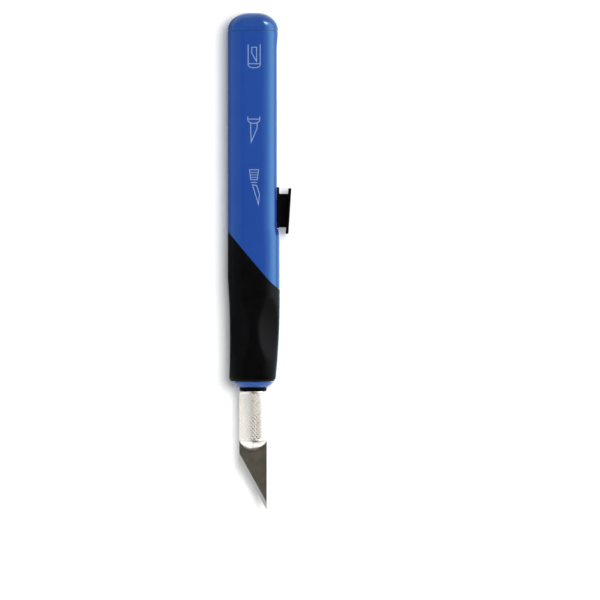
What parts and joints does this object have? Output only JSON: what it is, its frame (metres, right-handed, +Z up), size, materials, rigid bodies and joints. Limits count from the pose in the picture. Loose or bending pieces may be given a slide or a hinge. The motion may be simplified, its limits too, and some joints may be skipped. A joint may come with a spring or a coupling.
{
  "type": "craft knife",
  "caption": "Retractable craft knife: a thumb slider on the side draws a carriage with a knurled collet chuck and a pointed blade into a rounded handle with a soft grip.",
  "frame": {"origin": "middle of the handle tube's flat back, below the chuck's axis, on the surface that the knife lies on", "axes": "+Y along the chuck's axis from the blade to the end cap, +X towards the thumb slider, +Z up out of the printed face"},
  "size_m": [0.0186, 0.145, 0.0126],
  "materials": {
    "blue_plastic": "satin moulded blue plastic",
    "grip_rubber": "matte black soft grip",
    "black_plastic": "satin black plastic",
    "chuck_aluminium": "bright turned and knurled aluminium",
    "blade_steel": "dark tempered steel with a ground bevel",
    "spring_steel": "plain spring steel"
  },
  "bodies": {
    "handle": {"handle_tube": "blue_plastic", "grip_sleeve": "grip_rubber", "end_cap": "blue_plastic"},
    "slider": {"carriage": "black_plastic", "thumb_slider": "black_plastic", "detent_spring": "spring_steel", "retaining_ring": "spring_steel"},
    "sleeve": {"chuck_sleeve": "chuck_aluminium"},
    "jaws": {"collet": "chuck_aluminium"},
    "cutter": {"blade": "blade_steel"}
  },
  "joints": [
    {"name": "slider_draw", "type": "slide", "parent": "handle", "child": "slider", "axis": [0, 1, 0], "range_m": [0, 0.03828], "deforming": ["detent_spring"]},
    {"name": "sleeve_turn", "type": "hinge", "parent": "slider", "child": "sleeve", "pos_m": [0, -0.052, 0.0063], "axis": [0, -1, 0], "range_deg": [0, 540]},
    {"name": "jaws_draw", "type": "slide", "parent": "slider", "child": "jaws", "axis": [0, -1, 0], "range_m": [0, 0.0012]},
    {"name": "blade_pull", "type": "slide", "parent": "jaws", "child": "cutter", "axis": [0, -1, 0], "range_m": [0, 0.014]}
  ],
  "couplings": [
    {"joint": "sleeve_turn", "follows": "jaws_draw", "rad_per_m": 7854}
  ]
}
